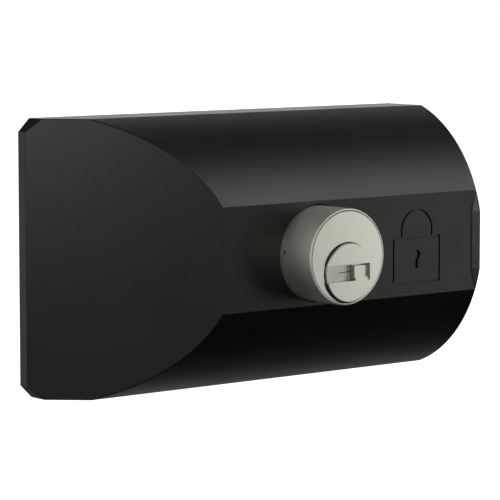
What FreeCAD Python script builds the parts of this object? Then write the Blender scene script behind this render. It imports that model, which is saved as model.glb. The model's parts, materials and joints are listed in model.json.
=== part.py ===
import FreeCAD, Part
import Sketcher
import math
import os
from types import SimpleNamespace

Vector = FreeCAD.Vector

# Surface-mounted deadbolt lock. The case lies against the door with its back in the plane y = 0.
# +X is the way the bolt is thrown, -Y is the front and +Z is up. The origin is the middle of the back.

SIZES = {
    # case
    "case_length": 140.0,
    "case_height": 80.0,
    "arc_margin": 2.7,
    "arc_offset": 0.5,
    "band_set_back": 2.8,
    "bevel_run": 41.7,
    "bevel_edge": 3.5,
    "corner_cut": 3.8,
    "edge_round": 0.35,
    "end_chamfer": 0.25,
    "fit_gap": 0.05,
    "loose_gap": 0.3,
    "tool_over": 1.0,
    # pocket for the bolt work, open at the back
    "pocket_left": 98.0,
    "pocket_right": 14.0,
    "pocket_height": 32.0,
    "pocket_depth": 26.0,
    # back plate, set flush in the back
    "plate_thickness": 4.0,
    "plate_ledge": 6.0,
    "plate_hole": 1.6,
    # seal groove in the back
    "seal_inset": 4.0,
    "seal_width": 2.5,
    "seal_depth": 1.6,
    # threaded holes for the door screws
    "fixing_inset_x": 20.0,
    "fixing_inset_z": 12.0,
    "fixing_radius": 3.4,
    "fixing_depth": 14.0,
    # end plate
    "flange": 1.6,
    "flange_set_back": 0.9,
    "lip": 0.5,
    "spigot_length": 3.0,
    "spigot_margin": 3.0,
    "end_screw_spacing": 48.0,
    # lock cylinder
    "cylinder_inset": 63.4,
    "collar_radius": 13.9,
    "collar_wall": 0.7,
    "collar_stand": 13.5,
    "collar_seat": 4.0,
    "collar_gap": 0.45,
    "collar_round": 0.3,
    "collar_pin_radius": 0.4,
    "collar_pin_length": 3.0,
    "collar_pin_stand": 2.0,
    "collar_pin_z": 1.3,
    "collar_pin_sink": 0.25,
    "shell_rear_wall": 1.0,
    "shell_lift": 0.25,
    "screw_offset_x": 7.5,
    "screw_offset_z": 5.5,
    # plug
    "plug_drop": 4.5,
    "head_radius": 8.55,
    "head_length": 3.0,
    "head_proud": 1.0,
    "head_chamfer": 0.3,
    "plug_radius": 6.5,
    "tail_radius": 3.0,
    "tail_flat": 2.2,
    "clip_thickness": 0.7,
    "clip_depth": 0.85,
    "slot_height": 4.8,
    "slot_depth": 0.45,
    "slot_right": 7.65,
    "floor_depth": 0.95,
    "floor_low": 0.85,
    "groove_height": 0.6,
    "groove_depth": 2.2,
    "mouth_right": 2.6,
    "mouth_depth": 3.0,
    "keyway_width": 5.2,
    "keyway_height": 2.4,
    "keyway_drop": 0.3,
    "ward_left": 1.2,
    "ward_width": 1.0,
    "ward_height": 0.7,
    "leaf_thickness": 0.25,
    "leaf_gap": 0.1,
    "leaf_slit": 0.2,
    "leaf_root": 2.0,
    "tail_overrun": 0.4,
    "plug_overrun": 1.2,
    "clip_offset": 0.2,
    "clip_play": 0.05,
    "clip_reach": 0.9,
    "press_fit": 0.03,
    # pin stacks
    "pin_radius": 1.25,
    "pin_pitch": 4.0,
    "pin_count": 5.0,
    "pin_first": 7.5,
    "key_pin_length": 5.6,
    "key_pin_gap": 0.15,
    "driver_gap": 0.08,
    "driver_length": 3.5,
    "cap_width": 4.0,
    "cap_thickness": 1.4,
    "cap_sink": 0.3,
    "cap_overhang": 0.6,
    "spring_wire": 0.18,
    "spring_turns": 4.0,
    "drill_pin_radius": 1.0,
    "drill_pin_x": 4.6,
    "drill_pin_length": 7.0,
    "drill_pin_wall": 0.5,
    # clamp that holds the cylinder from behind
    "clamp_thickness": 2.0,
    "clamp_margin": 3.0,
    # drive
    "gear_module": 1.0,
    "gear_teeth": 12.0,
    "gear_face": 6.0,
    "backlash": 0.2,
    "flank_steps": 5.0,
    "root_overlap": 0.3,
    "rack_addendum": 0.65,
    "rack_dedendum": 1.2,
    "rack_gaps": 10.0,
    # bolt
    "bolt_height": 18.0,
    "bolt_thickness": 14.0,
    "bolt_front": 25.9,
    "bolt_set_back": 0.5,
    "bolt_shoulder": 17.6,
    "bolt_round": 1.0,
    "throw": 18.85,
    "roller_radius": 2.5,
    "roller_length": 38.0,
    "roller_inset": 2.0,
    "stop_radius": 2.0,
    "stop_depth": 6.0,
    "stop_inset": 3.0,
    "stop_clearance": 0.15,
    "bridge_thickness": 2.0,
    "guide_length": 30.0,
    "guide_screw_inset": 5.0,
    # fasteners
    "small_screw": 1.5,
    "small_head": 2.8,
    "medium_screw": 2.0,
    "medium_head": 3.5,
    "screw_clearance": 0.1,
    "sunk_head_length": 1.7,
    "cap_head_length": 1.8,
    "small_socket": 1.1,
    "medium_socket": 1.4,
    "socket_depth": 1.0,
    "tap_over": 1.0,
    "end_screw_length": 9.0,
    "plate_screw_length": 10.0,
    "guide_screw_reach": 6.0,
    "cylinder_screw_length": 10.0,
    "tail_screw": 1.25,
    "tail_screw_length": 5.0,
    "tail_screw_head": 2.4,
    "washer_over": 1.0,
    "washer_thickness": 0.8,
    # engraved padlock mark on the front band
    "mark_inset": 24.5,
    "mark_width": 19.0,
    "mark_height": 14.0,
    "mark_low": 11.5,
    "mark_line": 0.6,
    "mark_depth": 0.6,
    "mark_leg": 2.0,
    "keyhole_radius": 1.5,
    "keyhole_slot": 0.6,
    "keyhole_length": 4.0,
}


class Size:
    """A length that keeps the sheet formula it came from, so that it can be bound."""

    def __init__(self, value, formula):
        self.value = value
        self.formula = formula

    def __add__(self, other):
        other = sized(other)
        return Size(self.value + other.value, f"({self.formula} + {other.formula})")

    def __sub__(self, other):
        other = sized(other)
        return Size(self.value - other.value, f"({self.formula} - {other.formula})")

    def __mul__(self, other):
        other = sized(other)
        return Size(self.value * other.value, f"({self.formula} * {other.formula})")

    def __truediv__(self, other):
        other = sized(other)
        return Size(self.value / other.value, f"({self.formula} / {other.formula})")

    def __neg__(self):
        return Size(-self.value, f"(0 - {self.formula})")

    def __radd__(self, other):
        return sized(other) + self

    def __rsub__(self, other):
        return sized(other) - self

    def __rmul__(self, other):
        return sized(other) * self


def sized(value):
    if isinstance(value, Size):
        return value
    return Size(float(value), repr(float(value)))


def root(size):
    return Size(math.sqrt(size.value), f"sqrt({size.formula})")


doc = FreeCAD.newDocument("deadbolt_lock")
sheet = doc.addObject("Spreadsheet::Sheet", "Sizes")
for row, (alias, number) in enumerate(SIZES.items(), start=1):
    sheet.set(f"A{row}", alias)
    sheet.set(f"B{row}", str(number))
    sheet.setAlias(f"B{row}", alias)
doc.recompute()
d = SimpleNamespace(**{alias: Size(number, f"Sizes.{alias}") for alias, number in SIZES.items()})

TURN_TO_X = FreeCAD.Rotation(Vector(0, 1, 0), 90)
TURN_TO_Y = FreeCAD.Rotation(Vector(1, 0, 0), -90)
NO_TURN = FreeCAD.Rotation()

nodes = {}
touch = 0.01


# ---------------------------------------------------------------- tools for building

def bind(thing, name, size):
    size = sized(size)
    thing.setExpression(name, size.formula)


def put(thing, x, y, z, turn=NO_TURN):
    places = [sized(x), sized(y), sized(z)]
    thing.Placement = FreeCAD.Placement(Vector(*[place.value for place in places]), turn)
    for letter, place in zip("xyz", places):
        bind(thing, f"Placement.Base.{letter}", place)
    return thing


def keep(thing, label):
    thing.Label = label
    nodes[label] = thing
    return thing


def box(x0, y0, z0, x1, y1, z1):
    """A block between two corners, the first one the lower in x, y and z."""
    block = doc.addObject("Part::Box", "block")
    bind(block, "Length", sized(x1) - x0)
    bind(block, "Width", sized(y1) - y0)
    bind(block, "Height", sized(z1) - z0)
    return put(block, x0, y0, z0)


def rod(x, y, z, radius, length, turn):
    """A round bar that starts at a point and runs along the turned Z axis."""
    bar = doc.addObject("Part::Cylinder", "rod")
    bind(bar, "Radius", radius)
    bind(bar, "Height", length)
    return put(bar, x, y, z, turn)


def taper(x, y, z, first_radius, last_radius, length, turn):
    cone = doc.addObject("Part::Cone", "taper")
    bind(cone, "Radius1", first_radius)
    bind(cone, "Radius2", last_radius)
    bind(cone, "Height", length)
    return put(cone, x, y, z, turn)


def hexagon(x, y, z, radius, length, turn):
    prism = doc.addObject("Part::Prism", "hexagon")
    prism.Polygon = 6
    bind(prism, "Circumradius", radius)
    bind(prism, "Height", length)
    return put(prism, x, y, z, turn)


def cut(base, *tools):
    for tool in tools:
        result = doc.addObject("Part::Cut", "cut")
        result.Base = base
        result.Tool = tool
        base = result
    return base


def fuse(*pieces):
    result = doc.addObject("Part::MultiFuse", "fuse")
    result.Shapes = list(pieces)
    return result


def group(pieces, label):
    result = doc.addObject("Part::Compound", label)
    result.Links = list(pieces)
    return keep(result, label)


def new_body(name):
    return doc.addObject("PartDesign::Body", name)


def sketch_on(body, role, lift=0):
    """A sketch on one of the body's own origin planes, lifted along that plane's normal."""
    plane = next(item for item in body.Origin.OriginFeatures if item.Role == role)
    sketch = body.newObject("Sketcher::SketchObject", "sketch")
    sketch.AttachmentSupport = [(plane, "")]
    sketch.MapMode = "FlatFace"
    bind(sketch, "AttachmentOffset.Base.z", lift)
    return sketch


def fix_point(sketch, geometry, end, across, up):
    """Hold one end of a line, or the centre of a circle, at bound distances from the sketch's origin."""
    for kind, size in (("DistanceX", across), ("DistanceY", up)):
        size = sized(size)
        index = sketch.addConstraint(Sketcher.Constraint(kind, -1, 1, geometry, end, size.value))
        bind(sketch, f"Constraints[{index}]", size)


def polygon(sketch, points):
    corners = [Vector(sized(across).value, sized(up).value, 0) for across, up in points]
    first = sketch.GeometryCount
    for number, corner in enumerate(corners):
        following = corners[(number + 1) % len(corners)]
        sketch.addGeometry(Part.LineSegment(corner, following), False)
    for number in range(len(corners)):
        following = (number + 1) % len(corners)
        sketch.addConstraint(Sketcher.Constraint("Coincident", first + number, 2, first + following, 1))
    for number, (across, up) in enumerate(points):
        fix_point(sketch, first + number, 1, across, up)
    return sketch


def rectangle(sketch, left, low, right, high):
    return polygon(sketch, [(left, low), (right, low), (right, high), (left, high)])


def circle(sketch, across, up, radius):
    centre = Vector(sized(across).value, sized(up).value, 0)
    number = sketch.addGeometry(Part.Circle(centre, Vector(0, 0, 1), sized(radius).value), False)
    fix_point(sketch, number, 3, across, up)
    index = sketch.addConstraint(Sketcher.Constraint("Radius", number, sized(radius).value))
    bind(sketch, f"Constraints[{index}]", radius)
    return sketch


def pad(body, sketch, length):
    feature = body.newObject("PartDesign::Pad", "pad")
    feature.Profile = sketch
    bind(feature, "Length", length)
    doc.recompute()
    return feature


def pocket(body, sketch, length, along_normal=False):
    """Cut from the sketch's plane, against its normal unless told otherwise."""
    before = body.Shape.Volume
    feature = body.newObject("PartDesign::Pocket", "pocket")
    feature.Profile = sketch
    bind(feature, "Length", length)
    feature.Reversed = along_normal
    doc.recompute()
    if not body.Shape.Volume < before:
        raise ValueError(f"a pocket of {body.Label} cuts nothing")
    return feature


def ease_edges(body, kind, size, wanted):
    """Fillet or chamfer the edges of the body's tip that the test picks out."""
    tip = body.Tip
    before = body.Shape.Volume
    names = [f"Edge{number}" for number, edge in enumerate(tip.Shape.Edges, start=1) if wanted(edge)]
    feature = body.newObject(f"PartDesign::{kind}", "eased")
    feature.Base = (tip, names)
    bind(feature, {"Fillet": "Radius", "Chamfer": "Size"}[kind], size)
    doc.recompute()
    if not 0 < before - body.Shape.Volume < before / 10:
        raise ValueError(f"the eased edges of {body.Label} failed")
    return feature


# ---------------------------------------------------------------- places shared by several pieces

half_length = d.case_length / 2
half_height = d.case_height / 2
end_face = half_length - d.flange
case_radius = half_height + d.arc_margin
crown_depth = d.arc_offset + case_radius
band_depth = crown_depth - d.band_set_back
flange_depth = crown_depth - d.flange_set_back
cylinder_x = half_length - d.cylinder_inset

pocket_x0 = half_length - d.pocket_left
pocket_x1 = half_length - d.pocket_right
half_pocket = d.pocket_height / 2
plate_x0 = pocket_x0 - d.plate_ledge
plate_x1 = pocket_x1 + d.plate_ledge
half_plate = half_pocket + d.plate_ledge
ledge_middle = d.plate_ledge / 2
plate_screws = [
    (x, z)
    for x in (plate_x0 + ledge_middle, (plate_x0 + plate_x1) / 2, plate_x1 - ledge_middle)
    for z in (-(half_plate - ledge_middle), half_plate - ledge_middle)
]

face_y = -(band_depth + d.collar_stand)
seat_y = -(band_depth - d.collar_seat)
floor_y = -d.pocket_depth
shell_radius = d.collar_radius - d.collar_wall - d.fit_gap
shell_rear_radius = d.plug_drop + d.plug_radius + d.shell_rear_wall
shell_back = floor_y - d.shell_lift
clamp_y = floor_y + d.clamp_thickness
plug_z = -d.plug_drop
head_back = face_y + d.head_length
head_front = face_y - d.head_proud
clip_y = shell_back + d.clip_offset
cylinder_screw_places = [
    (cylinder_x - d.screw_offset_x, d.screw_offset_z),
    (cylinder_x + d.screw_offset_x, d.screw_offset_z),
]

bolt_y0 = -d.bolt_front
bolt_y1 = d.bolt_thickness - d.bolt_front
half_bolt = d.bolt_height / 2
bolt_tip = half_length - d.bolt_set_back
shoulder_x = cylinder_x + d.bolt_shoulder
arm_y0 = -(d.bolt_front - (d.bolt_thickness - d.gear_face) / 2)
arm_y1 = arm_y0 + d.gear_face
pitch_radius = d.gear_module * d.gear_teeth / 2
pitch_z = plug_z + pitch_radius
tooth_pitch = d.gear_module * math.pi
guide_x1 = pocket_x1 - d.loose_gap
guide_x0 = guide_x1 - d.guide_length
bridge_y0 = bolt_y1 + d.fit_gap
bridge_y1 = bridge_y0 + d.bridge_thickness
stop_x = guide_x0 + d.stop_radius + d.stop_inset
guide_screw_places = [
    (x, z)
    for x in (guide_x0 + d.guide_screw_inset, guide_x1 - d.guide_screw_inset)
    for z in (-(half_pocket + half_bolt) / 2, (half_pocket + half_bolt) / 2)
]
spigot_y0 = bolt_y0 - d.spigot_margin
spigot_y1 = bolt_y1 + d.spigot_margin
half_spigot = half_bolt + d.spigot_margin
end_screw_places = [
    ((bolt_y0 + bolt_y1) / 2, -d.end_screw_spacing / 2),
    ((bolt_y0 + bolt_y1) / 2, d.end_screw_spacing / 2),
]


def case_profile(sketch, depth):
    """The half-round outline of the case: flat back, top and bottom, arcs, and a flat front band."""
    arc_end_y = -(d.arc_offset + root(case_radius * case_radius - half_height * half_height))
    reach = sized(depth) - d.arc_offset
    band_half = root(case_radius * case_radius - reach * reach)
    front = -sized(depth)
    centre = (-d.arc_offset, sized(0))
    corners = [
        (sized(0), -half_height),
        (arc_end_y, -half_height),
        (front, -band_half),
        (front, band_half),
        (arc_end_y, half_height),
        (sized(0), half_height),
    ]
    points = [Vector(across.value, up.value, 0) for across, up in corners]
    middle = Vector(centre[0].value, 0, 0)

    def arc(start, end):
        halfway = ((start - middle) + (end - middle)).normalize() * case_radius.value
        return Part.Arc(start, middle + halfway, end)

    edges = [
        Part.LineSegment(points[0], points[1]),
        arc(points[1], points[2]),
        Part.LineSegment(points[2], points[3]),
        arc(points[3], points[4]),
        Part.LineSegment(points[4], points[5]),
        Part.LineSegment(points[5], points[0]),
    ]
    for edge in edges:
        sketch.addGeometry(edge, False)
    # an arc runs anticlockwise between its ends, so the clockwise outline meets its last point first
    starts = [(0, 1), (1, 2), (2, 1), (3, 2), (4, 1), (5, 1)]
    ends = [(0, 2), (1, 1), (2, 2), (3, 1), (4, 2), (5, 2)]
    for number in range(len(edges)):
        following = (number + 1) % len(edges)
        sketch.addConstraint(Sketcher.Constraint("Coincident", *ends[number], *starts[following]))
    for number in (0, 2, 4):
        fix_point(sketch, number, 1, *corners[number])
        fix_point(sketch, number, 2, *corners[number + 1])
    for number in (1, 3):
        index = sketch.addConstraint(Sketcher.Constraint("Radius", number, case_radius.value))
        bind(sketch, f"Constraints[{index}]", case_radius)
    return sketch


# ---------------------------------------------------------------- case

def make_housing():
    body = new_body("housing_body")
    margin = d.tool_over * 5

    pad(body, case_profile(sketch_on(body, "YZ_Plane", -half_length), band_depth), d.case_length - d.flange)

    bevel = sketch_on(body, "XY_Plane", d.case_height)
    left = -half_length
    polygon(bevel, [
        (left, -d.bevel_edge),
        (left + d.bevel_run, -band_depth),
        (left + d.bevel_run, -band_depth - margin),
        (left - margin, -band_depth - margin),
        (left - margin, -d.bevel_edge),
    ])
    pocket(body, bevel, d.case_height * 2)

    corners = sketch_on(body, "XZ_Plane", d.case_height)
    for sign in (-1, 1):
        polygon(corners, [
            (left, (half_height - d.corner_cut) * sign),
            (left + d.corner_cut, half_height * sign),
            (left + d.corner_cut, (half_height + margin) * sign),
            (left - margin, (half_height + margin) * sign),
            (left - margin, (half_height - d.corner_cut) * sign),
        ])
    pocket(body, corners, d.case_height + margin)

    def outer_edge(edge):
        return edge.BoundBox.YMin < -touch and edge.BoundBox.XMin < end_face.value - touch

    ease_edges(body, "Fillet", d.edge_round, outer_edge)

    work_pocket = rectangle(sketch_on(body, "XZ_Plane"), pocket_x0, -half_pocket, pocket_x1, half_pocket)
    pocket(body, work_pocket, d.pocket_depth, along_normal=True)

    plate_recess = rectangle(sketch_on(body, "XZ_Plane"), plate_x0, -half_plate, plate_x1, half_plate)
    pocket(body, plate_recess, d.plate_thickness, along_normal=True)

    groove = sketch_on(body, "XZ_Plane")
    for inset in (d.seal_inset, d.seal_inset + d.seal_width):
        across = half_length - inset
        up = half_height - inset
        rectangle(groove, -across, -up, across, up)
    pocket(body, groove, d.seal_depth, along_normal=True)

    fixings = sketch_on(body, "XZ_Plane")
    for across in (-(half_length - d.fixing_inset_x), half_length - d.fixing_inset_x):
        for up in (-(half_height - d.fixing_inset_z), half_height - d.fixing_inset_z):
            circle(fixings, across, up, d.fixing_radius)
    pocket(body, fixings, d.fixing_depth, along_normal=True)

    seat = circle(sketch_on(body, "XZ_Plane", d.case_height), cylinder_x, 0, d.collar_radius + d.collar_gap)
    pocket(body, seat, d.case_height + seat_y)
    bore = circle(sketch_on(body, "XZ_Plane", d.case_height), cylinder_x, 0, shell_rear_radius + d.fit_gap)
    pocket(body, bore, d.case_height + floor_y + d.tool_over)

    taps = sketch_on(body, "XZ_Plane")
    for across, up in plate_screws:
        circle(taps, across, up, d.small_screw)
    pocket(body, taps, d.plate_screw_length + d.tap_over, along_normal=True)
    guide_taps = sketch_on(body, "XZ_Plane")
    for across, up in guide_screw_places:
        circle(guide_taps, across, up, d.small_screw)
    pocket(body, guide_taps, d.pocket_depth + d.guide_screw_reach + d.tap_over, along_normal=True)

    spigot_seat = sketch_on(body, "YZ_Plane", half_length)
    rectangle(spigot_seat, spigot_y0 - d.fit_gap, -half_spigot - d.fit_gap,
              spigot_y1 + d.fit_gap, half_spigot + d.fit_gap)
    pocket(body, spigot_seat, d.flange + d.spigot_length + d.fit_gap)
    window = sketch_on(body, "YZ_Plane", half_length)
    rectangle(window, bolt_y0 - d.loose_gap, -half_bolt - d.loose_gap,
              bolt_y1 + d.loose_gap, half_bolt + d.loose_gap)
    pocket(body, window, d.pocket_right + d.tool_over)
    end_taps = sketch_on(body, "YZ_Plane", half_length)
    for across, up in end_screw_places:
        circle(end_taps, across, up, d.small_screw)
    pocket(body, end_taps, d.end_screw_length + d.tap_over)
    return body


def padlock_mark():
    """The cutter for the outline of a padlock, engraved in the front band."""
    front = -band_depth - d.tool_over
    inner = d.mark_depth - band_depth
    thickness = d.tool_over + d.mark_depth
    mark_x = half_length - d.mark_inset
    low = -d.mark_low
    high = low + d.mark_height
    x0 = mark_x - d.mark_width / 2
    x1 = mark_x + d.mark_width / 2
    line = d.mark_line
    frame = cut(
        box(x0, front, low, x1, inner, high),
        box(x0 + line, front, low + line, x1 - line, inner, high - line),
    )
    shackle_radius = d.mark_width / 3
    arch_z = high + d.mark_leg
    arch = cut(
        rod(mark_x, front, arch_z, shackle_radius, thickness, TURN_TO_Y),
        rod(mark_x, front, arch_z, shackle_radius - line, thickness, TURN_TO_Y),
        box(x0, front, low, x1, inner, arch_z),
    )
    legs = [
        box(mark_x - shackle_radius, front, high, mark_x - shackle_radius + line, inner, arch_z),
        box(mark_x + shackle_radius - line, front, high, mark_x + shackle_radius, inner, arch_z),
    ]
    keyhole_z = (low + high) / 2 + d.keyhole_radius
    keyhole = fuse(
        rod(mark_x, front, keyhole_z, d.keyhole_radius, thickness, TURN_TO_Y),
        box(mark_x - d.keyhole_slot, front, keyhole_z - d.keyhole_length,
            mark_x + d.keyhole_slot, inner, keyhole_z),
    )
    return fuse(frame, arch, *legs, keyhole)


def make_end_plate():
    body = new_body("end_plate_body")
    pad(body, case_profile(sketch_on(body, "YZ_Plane", end_face), flange_depth), d.flange)

    def outer_edge(edge):
        return edge.BoundBox.XMin > half_length.value - touch and edge.BoundBox.YMin < -touch

    ease_edges(body, "Chamfer", d.end_chamfer, outer_edge)
    far = d.case_height
    lip_back = sketch_on(body, "XZ_Plane", far)
    rectangle(lip_back, end_face - d.tool_over, -half_height, half_length - d.lip, half_height)
    pocket(body, lip_back, far - band_depth)
    spigot = sketch_on(body, "YZ_Plane", end_face - d.spigot_length)
    rectangle(spigot, spigot_y0, -half_spigot, spigot_y1, half_spigot)
    pad(body, spigot, d.spigot_length)
    window = sketch_on(body, "YZ_Plane", half_length)
    rectangle(window, bolt_y0 - d.fit_gap, -half_bolt - d.fit_gap,
              bolt_y1 + d.fit_gap, half_bolt + d.fit_gap)
    pocket(body, window, d.flange + d.spigot_length)
    holes = [
        countersink_x(half_length, y, z)
        for y, z in end_screw_places
    ]
    return keep(cut(body, *holes), "end_plate")


def countersink_x(x, y, z):
    """The hole for a small flat-headed screw that goes in along -X."""
    hole_radius = d.small_screw + d.fit_gap
    length = d.end_screw_length + d.tap_over
    shank = rod(x - length, y, z, hole_radius, length, TURN_TO_X)
    mouth = taper(x - d.flange, y, z, hole_radius, d.small_head + d.fit_gap, d.flange, TURN_TO_X)
    return fuse(shank, mouth)


def make_end_plate_screws():
    screws = []
    for y, z in end_screw_places:
        shank = rod(half_length - d.end_screw_length, y, z, d.small_screw,
                    d.end_screw_length - d.flange, TURN_TO_X)
        head = taper(half_length - d.flange, y, z, d.small_screw, d.small_head, d.flange, TURN_TO_X)
        socket = hexagon(half_length - d.socket_depth, y, z, d.small_socket, d.flange, TURN_TO_X)
        screws.append(cut(fuse(shank, head), socket))
    group(screws, "end_plate_screws")


def make_back_plate():
    body = new_body("back_plate_body")
    gap = d.fit_gap
    outline = rectangle(sketch_on(body, "XZ_Plane"), plate_x0 + gap, -half_plate + gap,
                        plate_x1 - gap, half_plate - gap)
    pad(body, outline, d.plate_thickness)
    holes = []
    for x, z in plate_screws:
        holes.append(rod(x, -d.plate_thickness, z, d.plate_hole, d.plate_thickness, TURN_TO_Y))
        holes.append(taper(x, -d.sunk_head_length, z, d.plate_hole, d.small_head + d.fit_gap,
                           d.sunk_head_length, TURN_TO_Y))
    keep(cut(body, *holes), "back_plate")


def make_back_plate_screws():
    screws = []
    head_length = d.sunk_head_length
    for x, z in plate_screws:
        shank = rod(x, -d.plate_screw_length, z, d.small_screw,
                    d.plate_screw_length - head_length, TURN_TO_Y)
        head = taper(x, -head_length, z, d.small_screw, d.small_head, head_length, TURN_TO_Y)
        socket = hexagon(x, -d.socket_depth, z, d.small_socket, head_length, TURN_TO_Y)
        screws.append(cut(fuse(shank, head), socket))
    group(screws, "back_plate_screws")


def make_back_seal():
    gap = d.fit_gap
    blocks = []
    for inset in (d.seal_inset + gap, d.seal_inset + d.seal_width - gap):
        across = half_length - inset
        up = half_height - inset
        blocks.append(box(-across, -d.seal_depth, -up, across, 0, up))
    keep(cut(*blocks), "back_seal")


# ---------------------------------------------------------------- lock cylinder

def make_collar():
    tube = rod(cylinder_x, face_y, 0, d.collar_radius, seat_y - face_y, TURN_TO_Y)
    hole = rod(cylinder_x, face_y, 0, d.collar_radius - d.collar_wall, seat_y - face_y, TURN_TO_Y)
    sleeve = cut(tube, hole, collar_pin_bar(d.collar_pin_radius + d.fit_gap))
    doc.recompute()
    rounded = doc.addObject("Part::Fillet", "collar_round")
    rounded.Base = sleeve
    rounded.Edges = [
        (number, d.collar_round.value, d.collar_round.value)
        for number, edge in enumerate(sleeve.Shape.Edges, start=1)
        if edge.BoundBox.YMax < face_y.value + touch
    ]
    keep(rounded, "cylinder_collar")


def collar_pin_bar(radius, sink=0):
    """A short bar through the collar's left wall into the shell, sunk below the collar's surface."""
    start = cylinder_x - d.collar_radius + sink
    y = -(band_depth + d.collar_pin_stand)
    return rod(start, y, d.collar_pin_z, radius, d.collar_pin_length - sink, TURN_TO_X)


def make_collar_pin():
    keep(collar_pin_bar(d.collar_pin_radius, d.collar_pin_sink), "collar_pin")


def pin_places():
    """Distances along Y of the pin chambers' axes."""
    first = face_y + d.pin_first
    return [first + d.pin_pitch * number for number in range(int(d.pin_count.value))]


def make_shell():
    body = new_body("shell_body")
    front = circle(sketch_on(body, "XZ_Plane", -seat_y), cylinder_x, 0, shell_radius)
    pad(body, front, seat_y - face_y)
    rear = circle(sketch_on(body, "XZ_Plane", -shell_back), cylinder_x, 0, shell_rear_radius)
    pad(body, rear, shell_back - seat_y)
    far = d.case_height
    head_hole = circle(sketch_on(body, "XZ_Plane", far), cylinder_x, plug_z, d.head_radius + d.loose_gap)
    pocket(body, head_hole, far + head_back + d.fit_gap)
    plug_hole = circle(sketch_on(body, "XZ_Plane", far), cylinder_x, plug_z, d.plug_radius + d.fit_gap)
    pocket(body, plug_hole, far)
    taps = sketch_on(body, "XZ_Plane")
    for across, up in cylinder_screw_places:
        circle(taps, across, up, d.medium_screw)
    pocket(body, taps, d.cylinder_screw_length + d.tap_over - clamp_y, along_normal=True)
    chambers = sketch_on(body, "XY_Plane", d.collar_radius * 2)
    for y in pin_places():
        circle(chambers, cylinder_x, y, d.pin_radius + d.fit_gap)
    pocket(body, chambers, d.collar_radius * 2)
    cap_slot = sketch_on(body, "XY_Plane", d.collar_radius * 2)
    rectangle(cap_slot, cylinder_x - d.cap_width / 2, cap_y0(), cylinder_x + d.cap_width / 2, cap_y1())
    pocket(body, cap_slot, d.collar_radius * 2 - cap_low())
    drill_holes = sketch_on(body, "XY_Plane", d.collar_radius * 2)
    for side in (-1, 1):
        circle(drill_holes, cylinder_x + d.drill_pin_x * side, drill_pin_y(), d.drill_pin_radius)
    pocket(body, drill_holes, d.collar_radius * 2 - drill_pin_low())
    keep(cut(body, collar_pin_bar(d.collar_pin_radius + d.fit_gap)), "cylinder_shell")


def cap_low():
    return shell_rear_radius - d.cap_thickness - d.cap_sink


def cap_y0():
    return pin_places()[0] - d.pin_radius - d.cap_overhang


def cap_y1():
    return pin_places()[-1] + d.pin_radius + d.cap_overhang


def drill_pin_y():
    return head_back + d.drill_pin_radius + d.drill_pin_wall


def drill_pin_low():
    return plug_z + d.plug_radius + d.drill_pin_radius


def make_chamber_cap():
    half = d.cap_width / 2
    bar = box(cylinder_x - half, cap_y0(), cap_low(), cylinder_x + half, cap_y1(),
              cap_low() + d.cap_thickness)
    keep(bar, "chamber_cap")


def make_drill_pins():
    rods = [
        rod(cylinder_x + d.drill_pin_x * side, drill_pin_y(), drill_pin_low(), d.drill_pin_radius,
            d.drill_pin_length, NO_TURN)
        for side in (-1, 1)
    ]
    group(rods, "anti_drill_pins")


shear_z = plug_z + d.plug_radius
chamber_top = cap_low()


def make_pins():
    key_pins = []
    drivers = []
    for y in pin_places():
        top = shear_z - d.key_pin_gap
        tip = d.pin_radius / 2
        shank = rod(cylinder_x, y, top - d.key_pin_length + tip, d.pin_radius,
                    d.key_pin_length - tip, NO_TURN)
        point = taper(cylinder_x, y, top - d.key_pin_length, tip, d.pin_radius, tip, NO_TURN)
        key_pins.append(fuse(shank, point))
        drivers.append(rod(cylinder_x, y, shear_z + d.driver_gap, d.pin_radius, d.driver_length, NO_TURN))
    group(key_pins, "key_pins")
    group(drivers, "driver_pins")


def make_pin_springs():
    """Five coil springs, each a round wire along a helix."""
    wire_radius = d.spring_wire.value
    coil_radius = (d.pin_radius - d.spring_wire - d.fit_gap).value
    low = (shear_z + d.driver_gap + d.driver_length + d.spring_wire).value
    high = chamber_top.value - wire_radius
    coils = []
    for y in pin_places():
        helix = Part.makeHelix((high - low) / d.spring_turns.value, high - low, coil_radius)
        section = Part.Wire([Part.makeCircle(wire_radius, Vector(coil_radius, 0, 0), Vector(0, 1, 0))])
        coil = Part.Wire(helix).makePipeShell([section], True, True)
        coil.translate(Vector(cylinder_x.value, y.value, low))
        coils.append(coil)
    springs = doc.addObject("Part::Feature", "pin_springs")
    springs.Shape = Part.makeCompound(coils)
    keep(springs, "pin_springs")


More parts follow.
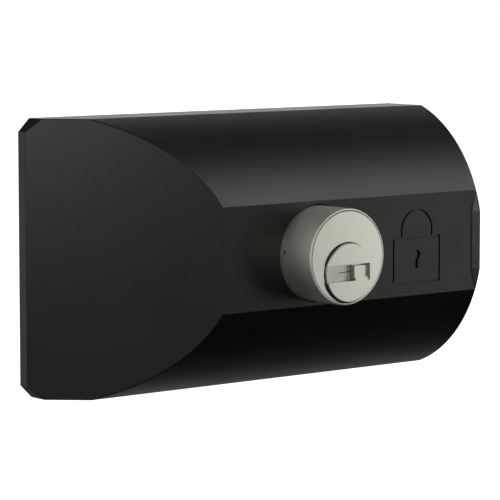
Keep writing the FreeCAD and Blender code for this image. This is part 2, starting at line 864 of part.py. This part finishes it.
def make_plug():
    body = new_body("plug_body")
    x = cylinder_x
    plug_back = shell_back + d.clip_thickness + d.plug_overrun
    tail_back = arm_y1 + d.tail_overrun
    head = circle(sketch_on(body, "XZ_Plane", -head_back), x, plug_z, d.head_radius)
    pad(body, head, head_back - head_front)
    barrel = circle(sketch_on(body, "XZ_Plane", -plug_back), x, plug_z, d.plug_radius)
    pad(body, barrel, plug_back - head_back)
    tail = circle(sketch_on(body, "XZ_Plane", -tail_back), x, plug_z, d.tail_radius)
    pad(body, tail, tail_back - plug_back)
    ease_edges(body, "Chamfer", d.head_chamfer, lambda edge: edge.BoundBox.YMax < head_front.value + touch)
    cut_key_slot(body, x)
    holes = sketch_on(body, "XY_Plane", plug_z + d.head_radius * 2)
    for y in pin_places():
        circle(holes, x, y, d.pin_radius + d.fit_gap)
    pocket(body, holes, d.head_radius * 2)
    groove_y = clip_y - d.clip_play
    groove_width = d.clip_thickness + d.clip_play * 2
    groove = cut(
        rod(x, groove_y, plug_z, d.plug_radius + d.tool_over, groove_width, TURN_TO_Y),
        rod(x, groove_y, plug_z, d.plug_radius - d.clip_depth, groove_width, TURN_TO_Y),
    )
    flat = box(x - d.tail_radius, plug_back, plug_z - d.tail_radius,
               x + d.tail_radius, tail_back, plug_z - d.tail_flat)
    tap = rod(x, tail_back - d.tail_screw_length - d.tap_over, plug_z, d.tail_screw,
              d.tail_screw_length + d.tap_over, TURN_TO_Y)
    keep(cut(body, groove, flat, tap), "plug")


def cut_key_slot(body, x):
    """A shallow slot across the head, a mouth that slopes down to the right, and the keyway behind it."""
    far = d.case_height
    half_slot = d.slot_height / 2
    left = x - d.head_radius - d.tool_over
    right = x + d.slot_right
    mouth_right = x + d.mouth_right
    low = plug_z - half_slot
    high = plug_z + half_slot
    slot = rectangle(sketch_on(body, "XZ_Plane", far), left, low, right, high)
    pocket(body, slot, far + head_front + d.slot_depth)
    floor = rectangle(sketch_on(body, "XZ_Plane", far), mouth_right, low + d.floor_low, right, high)
    pocket(body, floor, far + head_front + d.floor_depth)
    groove = rectangle(sketch_on(body, "XZ_Plane", far), mouth_right, high - d.groove_height, right, high)
    pocket(body, groove, far + head_front + d.groove_depth)
    mouth = sketch_on(body, "XY_Plane", high)
    front = head_front - d.tool_over
    polygon(mouth, [
        (left, head_front + d.slot_depth),
        (left, front),
        (mouth_right, front),
        (mouth_right, head_front + d.mouth_depth),
    ])
    pocket(body, mouth, d.slot_height)
    half_key = d.keyway_height / 2
    key_z = plug_z - d.keyway_drop
    key_left = mouth_right - d.keyway_width
    ward_high = key_z - half_key + d.ward_height
    ward_x = key_left + d.ward_left
    keyway = sketch_on(body, "XZ_Plane", far)
    polygon(keyway, [
        (key_left, key_z - half_key),
        (ward_x, key_z - half_key),
        (ward_x, ward_high),
        (ward_x + d.ward_width, ward_high),
        (ward_x + d.ward_width, key_z - half_key),
        (mouth_right, key_z - half_key),
        (mouth_right, key_z + half_key),
        (key_left, key_z + half_key),
    ])
    pocket(body, keyway, far + shell_back - d.tool_over)


def make_key_leaf():
    """A spring leaf on the slope of the key slot that closes the keyway, slit into two tongues."""
    body = new_body("key_leaf_body")
    half_height = d.slot_height / 2 - d.leaf_gap
    left = cylinder_x - d.head_radius - d.tool_over
    mouth_right = cylinder_x + d.mouth_right
    left_y = head_front + d.slot_depth
    right_y = head_front + d.mouth_depth
    outline = sketch_on(body, "XY_Plane", plug_z - half_height)
    polygon(outline, [
        (left, left_y),
        (left, left_y - d.leaf_thickness),
        (mouth_right, right_y - d.leaf_thickness),
        (mouth_right, right_y),
    ])
    pad(body, outline, half_height * 2)
    around = cut(
        rod(cylinder_x, head_front, plug_z, d.head_radius * 2, d.head_length, TURN_TO_Y),
        rod(cylinder_x, head_front, plug_z, d.head_radius - d.head_chamfer, d.head_length, TURN_TO_Y),
    )
    slit = box(cylinder_x - d.head_radius + d.leaf_root, head_front, plug_z - d.leaf_slit / 2,
               mouth_right, right_y + d.tool_over, plug_z + d.leaf_slit / 2)
    wall = box(mouth_right - d.leaf_gap, head_front, plug_z - d.slot_height,
               mouth_right + d.tool_over, right_y + d.tool_over, plug_z + d.slot_height)
    keep(cut(body, around, slit, wall), "key_leaf")


def make_plug_clip():
    inner = d.plug_radius - d.clip_depth + d.press_fit
    gap = inner / 2
    ring = cut(
        rod(cylinder_x, clip_y, plug_z, d.plug_radius + d.clip_reach, d.clip_thickness, TURN_TO_Y),
        rod(cylinder_x, clip_y, plug_z, inner, d.clip_thickness, TURN_TO_Y),
        box(cylinder_x - gap, clip_y, plug_z - d.plug_radius * 2, cylinder_x + gap,
            clip_y + d.clip_thickness, plug_z),
    )
    keep(ring, "plug_clip")


def make_cylinder_clamp():
    half = shell_rear_radius + d.clamp_margin
    plate = box(cylinder_x - half, floor_y, -half_pocket + d.loose_gap, cylinder_x + half,
                clamp_y, half_pocket - d.loose_gap)
    hole = rod(cylinder_x, floor_y, plug_z, d.plug_radius + d.clip_reach + d.loose_gap,
               d.clamp_thickness, TURN_TO_Y)
    screw_holes = [
        rod(x, floor_y, z, d.medium_screw + d.screw_clearance, d.clamp_thickness, TURN_TO_Y)
        for x, z in cylinder_screw_places
    ]
    keep(cut(plate, hole, *screw_holes), "cylinder_clamp")


def make_cylinder_screws():
    screws = []
    for x, z in cylinder_screw_places:
        shank = rod(x, clamp_y - d.cylinder_screw_length, z, d.medium_screw,
                    d.cylinder_screw_length, TURN_TO_Y)
        head = rod(x, clamp_y, z, d.medium_head, d.cap_head_length, TURN_TO_Y)
        socket = hexagon(x, clamp_y + d.cap_head_length - d.socket_depth, z, d.medium_socket,
                         d.cap_head_length, TURN_TO_Y)
        screws.append(cut(fuse(shank, head), socket))
    group(screws, "cylinder_screws")


# ---------------------------------------------------------------- drive and bolt

def involute(angle):
    return math.tan(angle) - angle


def make_pinion():
    """A spur gear with involute teeth, one of them pointing straight up at rest."""
    module = d.gear_module.value
    teeth = int(d.gear_teeth.value)
    pitch = pitch_radius.value
    pressure = math.radians(20)
    base = pitch * math.cos(pressure)
    tip = pitch + module
    low = pitch - 1.25 * module
    half_pitch_angle = (math.pi * module / 2 - d.backlash.value) / (2 * pitch)

    def half_angle(radius):
        turned = math.acos(min(1.0, base / max(radius, base)))
        return half_pitch_angle + involute(pressure) - involute(turned)

    steps = int(d.flank_steps.value)
    flank = [low - d.root_overlap.value, base]
    flank += [base + (tip - base) * step / steps for step in range(1, steps + 1)]
    side = [
        (radius * math.sin(half_angle(radius)), radius * math.cos(half_angle(radius)))
        for radius in flank
    ]
    outline = [(-across, up) for across, up in side] + [(across, up) for across, up in reversed(side)]
    corners = [Vector(across, 0, up) for across, up in outline]
    tooth = Part.Face(Part.makePolygon(corners + corners[:1])).extrude(Vector(0, d.gear_face.value, 0))
    gear = Part.makeCylinder(low, d.gear_face.value, Vector(), Vector(0, 1, 0))
    for number in range(teeth):
        copy = tooth.copy()
        copy.rotate(Vector(), Vector(0, 1, 0), 360 * number / teeth)
        gear = gear.fuse(copy)
    bore = (d.tail_radius + d.press_fit).value
    hole = Part.makeCylinder(bore, d.gear_face.value, Vector(), Vector(0, 1, 0))
    flat_z = -(d.tail_flat + d.press_fit).value
    below_flat = Part.makeBox(2 * bore, d.gear_face.value, bore, Vector(-bore, 0, flat_z - bore))
    gear = gear.cut(hole.cut(below_flat)).removeSplitter()
    pinion = doc.addObject("Part::Feature", "drive_pinion")
    pinion.Shape = gear
    pinion.Placement = FreeCAD.Placement(Vector(cylinder_x.value, arm_y0.value, plug_z.value), NO_TURN)
    keep(pinion, "drive_pinion")


def make_pinion_screw():
    washer_y = arm_y1 + d.tail_overrun
    head_y = washer_y + d.washer_thickness
    shank = rod(cylinder_x, washer_y - d.tail_screw_length, plug_z, d.tail_screw,
                d.tail_screw_length, TURN_TO_Y)
    washer = rod(cylinder_x, washer_y, plug_z, d.tail_radius + d.washer_over,
                 d.washer_thickness, TURN_TO_Y)
    head = rod(cylinder_x, head_y, plug_z, d.tail_screw_head, d.cap_head_length, TURN_TO_Y)
    socket = hexagon(cylinder_x, head_y + d.cap_head_length - d.socket_depth, plug_z, d.small_socket,
                     d.cap_head_length, TURN_TO_Y)
    keep(cut(fuse(shank, washer, head), socket), "pinion_screw")


def make_deadbolt():
    body = new_body("deadbolt_body")
    depth = -bolt_y1
    bar = rectangle(sketch_on(body, "XZ_Plane", depth), shoulder_x, -half_bolt, bolt_tip, half_bolt)
    pad(body, bar, d.bolt_thickness)

    ease_edges(body, "Fillet", d.bolt_round, lambda edge: edge.BoundBox.XMin > bolt_tip.value - touch)
    arm_x0 = cylinder_x - d.throw - tooth_pitch * 2
    rack_low = pitch_z - d.rack_addendum
    arm = rectangle(sketch_on(body, "XZ_Plane", -arm_y1), arm_x0, rack_low, shoulder_x, half_bolt)
    pad(body, arm, d.gear_face)
    gap_sketch = sketch_on(body, "XZ_Plane", -arm_y1 - d.tool_over)
    slope = math.tan(math.radians(20))
    quarter = tooth_pitch / 4
    high = pitch_z + d.rack_dedendum
    below = d.tool_over
    mouth = quarter + (d.rack_addendum + below) * slope
    crest = quarter - d.rack_dedendum * slope
    # the pattern starts at the last gap away from the bolt's head
    start = cylinder_x - tooth_pitch * (d.rack_gaps - 3)
    polygon(gap_sketch, [
        (start - mouth, rack_low - below),
        (start + mouth, rack_low - below),
        (start + crest, high),
        (start - crest, high),
    ])
    first_gap = pocket(body, gap_sketch, d.gear_face + d.tool_over * 2, along_normal=True)
    pattern = body.newObject("PartDesign::LinearPattern", "rack")
    pattern.Originals = [first_gap]
    pattern.Direction = (gap_sketch, ["H_Axis"])
    bind(pattern, "Length", tooth_pitch * (d.rack_gaps - 1))
    pattern.Occurrences = int(d.rack_gaps.value)
    body.Tip = pattern
    doc.recompute()
    roller_holes = [roller(offset) for offset in roller_offsets()]
    stop_hole = rod(stop_x, bolt_y1 - d.stop_depth, 0, d.stop_radius, d.stop_depth, TURN_TO_Y)
    keep(cut(body, *roller_holes, stop_hole), "deadbolt")


def roller_offsets():
    return (-half_bolt / 2, half_bolt / 2)


def roller(z):
    start = bolt_tip - d.roller_inset - d.roller_length
    return rod(start, (bolt_y0 + bolt_y1) / 2, z, d.roller_radius, d.roller_length, TURN_TO_X)


def make_bolt_fittings():
    group([roller(offset) for offset in roller_offsets()], "anti_saw_rollers")
    stop_length = d.stop_depth + d.fit_gap + d.bridge_thickness
    keep(rod(stop_x, bolt_y1 - d.stop_depth, 0, d.stop_radius, stop_length, TURN_TO_Y), "bolt_stop_pin")


def make_guides():
    gap = d.fit_gap
    for label, low, high in (
        ("upper_guide", half_bolt + gap, half_pocket - gap),
        ("lower_guide", -half_pocket + gap, -half_bolt - gap),
    ):
        block = box(guide_x0, floor_y, low, guide_x1, bolt_y1 + gap, high)
        holes = [
            rod(x, floor_y, z, d.small_screw + d.screw_clearance, d.pocket_depth, TURN_TO_Y)
            for x, z in guide_screw_places
            if (z.value > 0) == (low.value > 0)
        ]
        keep(cut(block, *holes), label)
    plate = box(guide_x0, bridge_y0, -half_pocket + gap, guide_x1, bridge_y1, half_pocket - gap)
    slot_end = stop_x + d.throw
    slot_radius = d.stop_radius + d.stop_clearance
    slot = fuse(
        rod(stop_x, bridge_y0, 0, slot_radius, d.bridge_thickness, TURN_TO_Y),
        rod(slot_end, bridge_y0, 0, slot_radius, d.bridge_thickness, TURN_TO_Y),
        box(stop_x, bridge_y0, -slot_radius, slot_end, bridge_y1, slot_radius),
    )
    holes = [
        rod(x, bridge_y0, z, d.small_screw + d.screw_clearance, d.bridge_thickness, TURN_TO_Y)
        for x, z in guide_screw_places
    ]
    keep(cut(plate, slot, *holes), "guide_bridge")
    screws = []
    for x, z in guide_screw_places:
        shank = rod(x, floor_y - d.guide_screw_reach, z, d.small_screw,
                    bridge_y1 - floor_y + d.guide_screw_reach, TURN_TO_Y)
        head = rod(x, bridge_y1, z, d.small_head, d.cap_head_length, TURN_TO_Y)
        socket = hexagon(x, bridge_y1 + d.cap_head_length - d.socket_depth, z, d.small_socket,
                         d.cap_head_length, TURN_TO_Y)
        screws.append(cut(fuse(shank, head), socket))
    group(screws, "guide_screws")


# ---------------------------------------------------------------- the whole lock

keep(cut(make_housing(), padlock_mark()), "housing")
make_end_plate()
make_end_plate_screws()
make_back_plate()
make_back_plate_screws()
make_back_seal()
make_collar()
make_collar_pin()
make_shell()
make_chamber_cap()
make_drill_pins()
make_pins()
make_pin_springs()
make_plug()
make_key_leaf()
make_plug_clip()
make_cylinder_clamp()
make_cylinder_screws()
make_pinion()
make_pinion_screw()
make_deadbolt()
make_bolt_fittings()
make_guides()

doc.recompute()
for thing in doc.Objects:
    if "Invalid" in thing.State or "Error" in thing.State:
        raise ValueError(f"{thing.Name} failed: {thing.State}")
os.makedirs("parts", exist_ok=True)
for label, thing in nodes.items():
    if thing.Shape.isNull() or not thing.Shape.isValid():
        raise ValueError(f"{label} has no valid shape")
    thing.Shape.exportStep(f"parts/{label}.step")
    print(label, len(thing.Shape.Solids), round(thing.Shape.Volume, 1))
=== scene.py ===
import json
import math

import bpy
from mathutils import Matrix, Vector


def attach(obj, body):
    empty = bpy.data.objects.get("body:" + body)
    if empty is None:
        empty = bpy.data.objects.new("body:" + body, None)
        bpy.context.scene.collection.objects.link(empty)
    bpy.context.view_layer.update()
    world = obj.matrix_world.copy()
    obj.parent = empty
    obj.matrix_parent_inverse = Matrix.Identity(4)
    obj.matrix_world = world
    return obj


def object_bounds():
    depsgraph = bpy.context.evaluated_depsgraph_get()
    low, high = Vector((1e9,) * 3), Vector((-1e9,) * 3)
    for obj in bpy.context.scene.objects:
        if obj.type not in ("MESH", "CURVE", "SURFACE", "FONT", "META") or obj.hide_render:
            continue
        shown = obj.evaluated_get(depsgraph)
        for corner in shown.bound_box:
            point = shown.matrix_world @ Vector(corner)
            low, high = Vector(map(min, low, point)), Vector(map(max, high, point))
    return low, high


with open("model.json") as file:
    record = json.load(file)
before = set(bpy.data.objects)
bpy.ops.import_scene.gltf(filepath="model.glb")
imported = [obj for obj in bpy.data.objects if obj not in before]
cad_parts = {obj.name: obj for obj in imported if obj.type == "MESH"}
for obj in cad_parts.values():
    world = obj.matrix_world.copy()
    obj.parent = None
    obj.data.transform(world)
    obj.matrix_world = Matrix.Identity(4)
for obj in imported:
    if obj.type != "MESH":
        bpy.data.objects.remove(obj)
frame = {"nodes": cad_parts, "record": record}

NODES = frame["nodes"]
LOW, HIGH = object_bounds()


# ---------------------------------------------------------------- node materials

NOISE_ROUGHNESS = 0.55


class Shader:
    """A Principled material whose colour, roughness and bump are built from nodes."""

    def __init__(self, name):
        self.material = bpy.data.materials.new(name)
        self.material.use_nodes = True
        self.nodes = self.material.node_tree.nodes
        self.links = self.material.node_tree.links
        self.principled = self.nodes["Principled BSDF"]
        self.place = self.nodes.new("ShaderNodeTexCoord").outputs["Object"]

    def set(self, **values):
        for name, value in values.items():
            self.principled.inputs[name.replace("_", " ")].default_value = value
        return self

    def link(self, source, socket):
        self.links.new(source, socket)

    def stretched(self, scale):
        """The object's own coordinates, in metres, times a scale for each axis."""
        node = self.nodes.new("ShaderNodeMapping")
        node.inputs["Scale"].default_value = scale
        self.link(self.place, node.inputs["Vector"])
        return node.outputs["Vector"]

    def noise(self, scale, detail=3.0, at=None):
        node = self.nodes.new("ShaderNodeTexNoise")
        node.inputs["Scale"].default_value = scale
        node.inputs["Detail"].default_value = detail
        node.inputs["Roughness"].default_value = NOISE_ROUGHNESS
        self.link(at or self.place, node.inputs["Vector"])
        return node.outputs["Fac"]

    def along(self, axis, signed=False):
        """How far the face looks along an axis, from 0 to 1, or from -1 to 1 if signed."""
        geometry = self.nodes.new("ShaderNodeNewGeometry")
        parts = self.nodes.new("ShaderNodeSeparateXYZ")
        self.link(geometry.outputs["True Normal"], parts.inputs["Vector"])
        if signed:
            return parts.outputs[axis]
        return self.math("ABSOLUTE", parts.outputs[axis])

    def spread(self, value, low, high, to_low, to_high):
        node = self.nodes.new("ShaderNodeMapRange")
        node.inputs["From Min"].default_value = low
        node.inputs["From Max"].default_value = high
        node.inputs["To Min"].default_value = to_low
        node.inputs["To Max"].default_value = to_high
        self.link(value, node.inputs["Value"])
        return node.outputs["Result"]

    def math(self, operation, first, second=None):
        node = self.nodes.new("ShaderNodeMath")
        node.operation = operation
        for socket, value in zip(node.inputs, (first, second)):
            if value is None:
                continue
            if isinstance(value, (int, float)):
                socket.default_value = value
            else:
                self.link(value, socket)
        return node.outputs["Value"]

    def mix(self, factor, first, second):
        node = self.nodes.new("ShaderNodeMix")
        node.data_type = "RGBA"
        colours = [socket for socket in node.inputs if socket.type == "RGBA"]
        self.feed(node.inputs[0], factor)
        self.feed(colours[0], first)
        self.feed(colours[1], second)
        return next(socket for socket in node.outputs if socket.type == "RGBA")

    def feed(self, socket, value):
        if isinstance(value, tuple):
            socket.default_value = (*value, 1.0) if len(value) == 3 else value
        elif isinstance(value, (int, float)):
            socket.default_value = value
        else:
            self.link(value, socket)

    def bump(self, value, distance, strength=1.0, under=None):
        node = self.nodes.new("ShaderNodeBump")
        node.inputs["Distance"].default_value = distance
        node.inputs["Strength"].default_value = strength
        self.link(value, node.inputs["Height"])
        if under is not None:
            self.link(under, node.inputs["Normal"])
        return node.outputs["Normal"]

    def finish(self, colour=None, roughness=None, normal=None):
        if colour is not None:
            self.feed(self.principled.inputs["Base Color"], colour)
        if roughness is not None:
            self.feed(self.principled.inputs["Roughness"], roughness)
        if normal is not None:
            self.link(normal, self.principled.inputs["Normal"])
        return self.material


def black_coat(name="black_coat", painted_light_side=False):
    """Satin black on steel: fine grain, lines along X on all but the bevel, and painted light if asked: a
    paler colour on faces that look towards -X.
    """
    shader = Shader(name).set(IOR=1.5, Specular_IOR_Level=0.5)
    grain = shader.noise(5200.0, detail=2.0)
    cloud = shader.noise(45.0, detail=4.0)
    drawn = shader.noise(1.0, detail=4.0, at=shader.stretched((30.0, 5200.0, 5200.0)))
    lined = shader.spread(shader.along("X"), 0.15, 0.35, 1.0, 0.0)
    lines = shader.math("MULTIPLY", drawn, lined)
    tone = shader.math("ADD", shader.math("MULTIPLY", cloud, 0.6), shader.math("MULTIPLY", grain, 0.4))
    shade = shader.spread(tone, 0.35, 0.65, 0.0, 1.0)
    colour = shader.mix(shade, (0.0020, 0.0022, 0.0018), (0.0042, 0.0046, 0.0040))
    if painted_light_side:
        # Painted light: faces that look towards -X, such as the lip's side facing the band, get a much
        # paler colour
        painted_light_mask = shader.spread(shader.along("X", signed=True), -0.9, -0.7, 1.0, 0.0)
        colour = shader.mix(painted_light_mask, colour, (0.120, 0.124, 0.116))
    roughness = shader.math(
        "ADD",
        shader.spread(cloud, 0.3, 0.7, 0.27, 0.33),
        shader.spread(lines, 0.2, 0.8, -0.03, 0.05),
    )
    grained = shader.bump(grain, 0.00002, 0.5)
    lined_normal = shader.bump(lines, 0.00002, 0.35, under=grained)
    return shader.finish(colour, roughness, lined_normal)


def brushed_metal(name, light, dark, rough, line_scale, line_depth=0.3, painted_wall_shade=1.0):
    """Bare or plated metal: fine lines, a soft mottle, and painted shade on side faces if asked."""
    shader = Shader(name).set(Metallic=1.0, IOR=2.0)
    lines = shader.noise(1.0, detail=4.0, at=shader.stretched(line_scale))
    cloud = shader.noise(160.0, detail=3.0)
    tone = shader.math("ADD", shader.math("MULTIPLY", lines, 0.6), shader.math("MULTIPLY", cloud, 0.4))
    colour = shader.mix(shader.spread(tone, 0.35, 0.65, 0.0, 1.0), dark, light)
    if painted_wall_shade < 1.0:
        # Painted shade: faces that don't look along Y, such as the sides of the keyway and the plug, get a
        # darker colour
        painted_shade_mask = shader.spread(shader.along("Y"), 0.3, 0.6, 1.0, 0.0)
        colour = shader.mix(painted_shade_mask, colour, tuple(part * painted_wall_shade for part in dark))
    roughness = shader.spread(tone, 0.3, 0.7, rough - 0.04, rough + 0.06)
    normal = shader.bump(lines, 0.00001, line_depth)
    return shader.finish(colour, roughness, normal)


def seal_rubber():
    shader = Shader("seal_rubber").set(IOR=1.45)
    pores = shader.noise(3500.0, detail=3.0)
    shade = shader.spread(pores, 0.3, 0.7, 0.0, 1.0)
    colour = shader.mix(shade, (0.012, 0.012, 0.012), (0.03, 0.03, 0.03))
    roughness = shader.spread(pores, 0.3, 0.7, 0.75, 0.9)
    return shader.finish(colour, roughness, shader.bump(pores, 0.00005, 0.8))


def brass():
    return brushed_metal("brass", (0.80, 0.62, 0.30), (0.66, 0.48, 0.21), 0.28, (2600.0, 2600.0, 60.0))


MATERIALS = {
    "black_coat": black_coat(),
    # end_coat carries painted light: a paler colour on its faces that look towards -X
    "end_coat": black_coat("end_coat", painted_light_side=True),
    "collar_nickel": brushed_metal("collar_nickel", (0.88, 0.87, 0.79), (0.80, 0.79, 0.71), 0.52,
                                   (120.0, 6500.0, 120.0), 0.25),
    # satin_nickel carries painted shade on its faces that don't look along Y
    "satin_nickel": brushed_metal("satin_nickel", (0.96, 0.96, 0.88), (0.90, 0.90, 0.81), 0.29,
                                  (9000.0, 120.0, 120.0), 0.1, painted_wall_shade=0.3),
    "bolt_steel": brushed_metal("bolt_steel", (0.64, 0.64, 0.63), (0.52, 0.52, 0.51), 0.26,
                                (40.0, 3600.0, 3600.0)),
    "bright_steel": brushed_metal("bright_steel", (0.72, 0.72, 0.72), (0.60, 0.60, 0.60), 0.22,
                                  (2800.0, 60.0, 2800.0)),
    "zinc_steel": brushed_metal("zinc_steel", (0.60, 0.61, 0.63), (0.47, 0.48, 0.49), 0.36,
                                (60.0, 2400.0, 2400.0)),
    "black_screw": brushed_metal("black_screw", (0.05, 0.05, 0.05), (0.025, 0.025, 0.025), 0.35,
                                 (1500.0, 1500.0, 1500.0)),
    "brass": brass(),
    "seal_rubber": seal_rubber(),
}


def dress_nodes():
    for row in frame["record"]["subparts"]:
        mesh = NODES[row["node"]].data
        mesh.materials.clear()
        mesh.materials.append(MATERIALS[row["material_slot"]])


# The corner between the front band and the end plate's lip, in metres
LIP_THICKNESS = 0.0005
ARC_MARGIN = 0.0027
ARC_OFFSET = 0.0005
BAND_SET_BACK = 0.0028
LIP_SET_BACK = 0.0009
LIP_X = HIGH.x - LIP_THICKNESS
ARC_RADIUS = HIGH.z + ARC_MARGIN
ARC_Y = -ARC_OFFSET
CROWN_Y = ARC_Y - ARC_RADIUS
BAND_Y = CROWN_Y + BAND_SET_BACK
LIP_Y = CROWN_Y + LIP_SET_BACK
FILLET_SLOPE = 0.68
FILLET_SINK = 0.00005
FILLET_SHARE = 0.985
FILLET_STEPS = 48


def add_lip_fillet():
    """A sloped fillet in the corner between the band and the lip, so that the coat runs on over both."""
    reach = FILLET_SHARE * math.sqrt(ARC_RADIUS ** 2 - (ARC_Y - BAND_Y) ** 2)
    corners = []
    faces = []
    for step in range(FILLET_STEPS + 1):
        z = reach * (2.0 * step / FILLET_STEPS - 1.0)
        outline = max(LIP_Y, ARC_Y - math.sqrt(ARC_RADIUS ** 2 - z ** 2))
        width = (BAND_Y - outline) * FILLET_SLOPE
        corners += [
            (LIP_X - width, BAND_Y + FILLET_SINK, z),
            (LIP_X + FILLET_SINK, outline + FILLET_SINK, z),
            (LIP_X + FILLET_SINK, BAND_Y + FILLET_SINK, z),
        ]
        if step:
            here = 3 * step
            before = here - 3
            for side in range(3):
                turn = (side + 1) % 3
                faces.append((before + side, before + turn, here + turn, here + side))
    last = 3 * FILLET_STEPS
    faces += [(2, 1, 0), (last, last + 1, last + 2)]
    mesh = bpy.data.meshes.new("lip_fillet")
    mesh.from_pydata(corners, [], faces)
    mesh.validate()
    piece = bpy.data.objects.new("lip_fillet", mesh)
    bpy.context.scene.collection.objects.link(piece)
    # end_coat paints light on faces that look towards -X, so this slope is partly paler
    mesh.materials.append(MATERIALS["end_coat"])
    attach(piece, "case")


# ---------------------------------------------------------------- camera, lights and floor

YAW = math.radians(38.70)
PITCH = math.radians(5.97)
DISTANCE = 0.848
ASIDE = 0.0437
ABOVE = 0.0065
LENS = 192.96
RIGHT = Vector((math.cos(YAW), -math.sin(YAW), 0.0))
LEVEL = math.cos(PITCH)
FORWARD = Vector((math.sin(YAW) * LEVEL, math.cos(YAW) * LEVEL, -math.sin(PITCH)))
UP = RIGHT.cross(FORWARD)


def add_camera():
    data = bpy.data.cameras.new("camera")
    data.lens = LENS
    data.sensor_width = 36.0
    data.clip_end = 20.0
    camera = bpy.data.objects.new("camera", data)
    turn = Matrix((RIGHT, UP, -FORWARD)).transposed().to_4x4()
    mating_end = Vector((HIGH.x, HIGH.y, 0.0))
    place = mating_end - RIGHT * ASIDE - UP * ABOVE - FORWARD * DISTANCE
    camera.matrix_world = Matrix.Translation(place) @ turn
    bpy.context.scene.collection.objects.link(camera)
    bpy.context.scene.camera = camera


# The studio as the lock's surfaces see it: soft patches of light,
# each with a direction, how tight it is, and how bright it is
LIGHT_PATCHES = [
    ("key", (0.62, -0.63, 0.45), 15.0, 2.25),
    ("key_high", (0.62, -0.42, 0.66), 12.0, 0.050),
    ("back_upper", (0.64, 0.35, 0.68), 12.0, 0.034),
    ("back_top", (0.64, 0.58, 0.50), 14.0, 0.24),
    ("back_level", (0.62, 0.78, 0.10), 20.0, 0.74),
    ("front_left", (-0.7, -0.67, 0.22), 7.0, 0.43),
    ("front", (-0.10, -0.98, -0.15), 14.0, 0.5),
    ("above", (0.0, 0.05, 1.0), 18.0, 0.4),
    ("right_end", (0.99, 0.0, -0.12), 22.0, 0.5),
    ("left_end", (-0.99, 0.0, -0.12), 18.0, 0.35),
    ("behind", (0.0, 0.99, -0.12), 18.0, 0.45),
    ("left", (-0.86, 0.30, 0.44), 12.0, 1.2),
    ("back_left", (-0.55, 0.83, -0.08), 10.0, 0.50),
    ("back_low", (0.60, 0.62, -0.48), 14.0, 0.175),
]
AMBIENT = 0.019
STUDIO_TINT = (0.98, 1.02, 0.955)

# Soft boxes near the lock: the middle, width and height in metres, and the power in watts
SOFT_BOXES = [
    ("band_far", (0.402, -0.340, -0.045), 0.12, 0.16, 0.019),
    ("band_near", (0.365, -0.373, -0.045), 0.12, 0.16, 0.041),
    ("bevel_far", (-0.437, -0.267, 0.080), 0.20, 0.16, 0.195),
]


def add_world():
    """White to the camera, and for all other rays a dark studio with soft patches of light."""
    world = bpy.data.worlds.new("studio")
    bpy.context.scene.world = world
    world.use_nodes = True
    nodes = world.node_tree.nodes
    links = world.node_tree.links
    place = nodes.new("ShaderNodeTexCoord").outputs["Generated"]

    def math_node(operation, *values):
        node = nodes.new("ShaderNodeMath")
        node.operation = operation
        for socket, value in zip(node.inputs, values):
            if isinstance(value, float):
                socket.default_value = value
            else:
                links.new(value, socket)
        return node.outputs["Value"]

    total = None
    for name, direction, tightness, level in LIGHT_PATCHES:
        dot = nodes.new("ShaderNodeVectorMath")
        dot.operation = "DOT_PRODUCT"
        links.new(place, dot.inputs[0])
        dot.inputs[1].default_value = Vector(direction).normalized()
        falloff = math_node("MULTIPLY", math_node("SUBTRACT", dot.outputs["Value"], 1.0), tightness)
        patch = math_node("MULTIPLY", math_node("EXPONENT", falloff), level)
        total = math_node("ADD", patch, AMBIENT if total is None else total)
    background = nodes["Background"]
    links.new(total, background.inputs["Strength"])
    background.inputs["Color"].default_value = (*STUDIO_TINT, 1.0)
    seen = nodes.new("ShaderNodeBackground")
    seen.inputs["Color"].default_value = (1.0, 1.0, 1.0, 1.0)
    path = nodes.new("ShaderNodeLightPath")
    choose = nodes.new("ShaderNodeMixShader")
    links.new(path.outputs["Is Camera Ray"], choose.inputs["Fac"])
    links.new(background.outputs["Background"], choose.inputs[1])
    links.new(seen.outputs["Background"], choose.inputs[2])
    links.new(choose.outputs["Shader"], nodes["World Output"].inputs["Surface"])


def add_soft_boxes():
    for name, place, width, height, power in SOFT_BOXES:
        data = bpy.data.lights.new(name, "AREA")
        data.shape = "RECTANGLE"
        data.size = width
        data.size_y = height
        data.energy = power
        data.color = STUDIO_TINT
        lamp = bpy.data.objects.new(name, data)
        lamp.location = place
        lamp.rotation_euler = (-Vector(place)).to_track_quat("-Z", "Y").to_euler()
        lamp.visible_camera = False
        bpy.context.scene.collection.objects.link(lamp)


FLOOR_SIZE = 6.0
FLOOR_DROP = 0.012


def add_floor():
    """A pale floor that gives off light, and that reflections and bounced light don't see."""
    bpy.ops.mesh.primitive_plane_add(size=FLOOR_SIZE, location=(0.0, 0.0, LOW.z - FLOOR_DROP))
    floor = bpy.context.object
    floor.name = "floor"
    shader = Shader("pale_floor").set(Roughness=0.9, Specular_IOR_Level=0.1)
    mottle = shader.noise(3.0, detail=2.0)
    colour = shader.mix(mottle, (0.93, 0.93, 0.93), (0.95, 0.95, 0.95))
    shader.set(Emission_Color=(1.0, 1.0, 1.0, 1.0), Emission_Strength=1.0)
    floor.data.materials.append(shader.finish(colour))
    floor.visible_glossy = False
    floor.visible_diffuse = False


dress_nodes()
add_lip_fillet()
add_camera()
add_world()
add_soft_boxes()
add_floor()
bpy.context.scene.view_settings.view_transform = "Standard"
